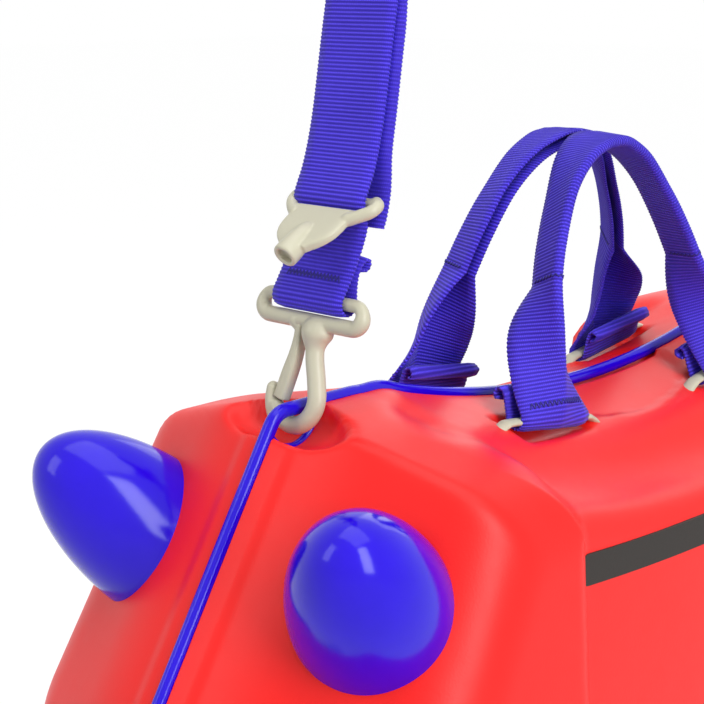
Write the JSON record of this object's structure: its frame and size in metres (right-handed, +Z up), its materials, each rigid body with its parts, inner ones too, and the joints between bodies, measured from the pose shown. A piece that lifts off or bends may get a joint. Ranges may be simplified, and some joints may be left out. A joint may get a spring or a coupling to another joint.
{
  "type": "ride on suitcase",
  "caption": "Child's hard-shell suitcase on wheels with a saddle top, horns, webbing carry handles, clamshell hinge, latching catches and a clip-on tow strap with key.",
  "frame": {"origin": "on the floor, under the middle of the case", "axes": "+X forwards to the horns, +Y to the rider's left, +Z up; the shells meet on the plane Y = 0"},
  "size_m": [0.4644, 0.204, 0.4935],
  "materials": {
    "shell_red": "satin moulded plastic",
    "seal_blue": "smooth soft rubber",
    "horn_blue": "glossy moulded plastic",
    "webbing_blue": "ribbed polyester webbing",
    "hardware_grey": "satin moulded plastic",
    "stripe_dark": "plain printed film",
    "tyre_black": "soft rubber",
    "rim_grey": "moulded plastic",
    "cap_blue": "glossy moulded plastic",
    "steel": "plain steel",
    "hinge_red": "moulded plastic",
    "catch_grey": "satin moulded plastic",
    "lock_blue": "glossy moulded plastic",
    "packing_black": "woven tape",
    "buckle_black": "moulded plastic"
  },
  "bodies": {
    "left_half": {"shell_left": "shell_red", "seal_trim": "seal_blue", "tow_loop_front": "seal_blue", "tow_loop_rear": "seal_blue", "hinge_leaf_left": "hinge_red", "hinge_pins": "steel", "hinge_rivets_left": "steel", "catch_base_front": "catch_grey", "catch_base_rear": "catch_grey", "catch_pin_front": "steel", "catch_pin_rear": "steel", "axles_left": "steel", "axle_clips_left": "steel", "horn_left": "horn_blue", "horn_screw_left": "steel", "handle_anchor_front_left": "hardware_grey", "handle_anchor_rear_left": "hardware_grey", "anchor_clips_left": "steel", "side_stripe_left": "stripe_dark"},
    "right_half": {"shell_right": "shell_red", "hinge_leaf_right": "hinge_red", "hinge_rivets_right": "steel", "catch_keeper_front": "catch_grey", "catch_keeper_rear": "catch_grey", "axles_right": "steel", "axle_clips_right": "steel", "horn_right": "horn_blue", "horn_screw_right": "steel", "handle_anchor_front_right": "hardware_grey", "handle_anchor_rear_right": "hardware_grey", "anchor_clips_right": "steel", "side_stripe_right": "stripe_dark", "packing_straps": "packing_black", "packing_buckle": "buckle_black"},
    "wheel_front_left": {"tyre_front_left": "tyre_black", "wheel_rim_front_left": "rim_grey", "wheel_cap_front_left": "cap_blue"},
    "wheel_front_right": {"tyre_front_right": "tyre_black", "wheel_rim_front_right": "rim_grey", "wheel_cap_front_right": "cap_blue"},
    "wheel_rear_left": {"tyre_rear_left": "tyre_black", "wheel_rim_rear_left": "rim_grey", "wheel_cap_rear_left": "cap_blue"},
    "wheel_rear_right": {"tyre_rear_right": "tyre_black", "wheel_rim_rear_right": "rim_grey", "wheel_cap_rear_right": "cap_blue"},
    "catch_lever_front": {"catch_lever_front": "catch_grey"},
    "catch_lever_rear": {"catch_lever_rear": "catch_grey"},
    "catch_lock_front": {"catch_lock_front": "lock_blue"},
    "catch_lock_rear": {"catch_lock_rear": "lock_blue"},
    "handle_left": {"handle_left": "webbing_blue"},
    "handle_right": {"handle_right": "webbing_blue"},
    "tow_hook": {"tow_hook": "hardware_grey"},
    "tow_hook_gate": {"tow_hook_gate": "hardware_grey"},
    "tow_strap": {"tow_strap": "webbing_blue"},
    "strap_key": {"strap_key": "hardware_grey"},
    "upper_hook": {"upper_hook": "hardware_grey"},
    "upper_hook_gate": {"upper_hook_gate": "hardware_grey"}
  },
  "joints": [
    {"name": "clamshell", "type": "hinge", "parent": "left_half", "child": "right_half", "pos_m": [0, 0, 0.014], "axis": [1, 0, 0], "range_deg": [0, 150]},
    {"name": "wheel_front_left_spin", "type": "hinge", "parent": "left_half", "child": "wheel_front_left", "pos_m": [0.152, 0.0805, 0.027], "axis": [0, 1, 0], "continuous": true},
    {"name": "wheel_front_right_spin", "type": "hinge", "parent": "right_half", "child": "wheel_front_right", "pos_m": [0.152, -0.0805, 0.027], "axis": [0, 1, 0], "continuous": true},
    {"name": "wheel_rear_left_spin", "type": "hinge", "parent": "left_half", "child": "wheel_rear_left", "pos_m": [-0.152, 0.0805, 0.027], "axis": [0, 1, 0], "continuous": true},
    {"name": "wheel_rear_right_spin", "type": "hinge", "parent": "right_half", "child": "wheel_rear_right", "pos_m": [-0.152, -0.0805, 0.027], "axis": [0, 1, 0], "continuous": true},
    {"name": "catch_lever_front_swing", "type": "hinge", "parent": "left_half", "child": "catch_lever_front", "pos_m": [0.2272, 0.035, 0.15], "axis": [0, 0, 1], "range_deg": [0, 110]},
    {"name": "catch_lock_front_turn", "type": "hinge", "parent": "catch_lever_front", "child": "catch_lock_front", "pos_m": [0.2291, 0, 0.15], "axis": [1, 0, 0], "range_deg": [0, 90]},
    {"name": "catch_lever_rear_swing", "type": "hinge", "parent": "left_half", "child": "catch_lever_rear", "pos_m": [-0.2272, 0.035, 0.15], "axis": [0, 0, -1], "range_deg": [0, 110]},
    {"name": "catch_lock_rear_turn", "type": "hinge", "parent": "catch_lever_rear", "child": "catch_lock_rear", "pos_m": [-0.2291, 0, 0.15], "axis": [1, 0, 0], "range_deg": [0, 90]},
    {"name": "handle_left_fold", "type": "hinge", "parent": "left_half", "child": "handle_left", "pos_m": [0, 0.0295, 0.289], "axis": [-1, 0, 0], "range_deg": [0, 95]},
    {"name": "handle_right_fold", "type": "hinge", "parent": "right_half", "child": "handle_right", "pos_m": [0, -0.0295, 0.289], "axis": [1, 0, 0], "range_deg": [0, 95]},
    {"name": "tow_hook_swing", "type": "hinge", "parent": "left_half", "child": "tow_hook", "pos_m": [0.1545, 0, 0.3056], "axis": [1, 0, 0], "range_deg": [-50, 50]},
    {"name": "tow_hook_gate_flex", "type": "hinge", "parent": "tow_hook", "child": "tow_hook_gate", "pos_m": [0.14967, -0.0006, 0.32542], "axis": [0.9715, 0, 0.2368], "range_deg": [0, 12], "stiffness_Nm_per_rad": 0.08},
    {"name": "tow_strap_swing", "type": "hinge", "parent": "tow_hook", "child": "tow_strap", "pos_m": [0.14638, 0, 0.33892], "axis": [0, 1, 0], "range_deg": [-40, 40]},
    {"name": "strap_key_swing", "type": "hinge", "parent": "tow_strap", "child": "strap_key", "pos_m": [0.13972, 0, 0.37024], "axis": [0, -1, 0], "range_deg": [-10, 80]},
    {"name": "upper_hook_swing", "type": "hinge", "parent": "tow_strap", "child": "upper_hook", "pos_m": [0.1189, 0, 0.45162], "axis": [0, 1, 0], "range_deg": [-60, 60]},
    {"name": "upper_hook_gate_flex", "type": "hinge", "parent": "upper_hook", "child": "upper_hook_gate", "pos_m": [0.11561, 0.0006, 0.46513], "axis": [0.9715, 0, 0.2368], "range_deg": [0, 12], "stiffness_Nm_per_rad": 0.08}
  ]
}
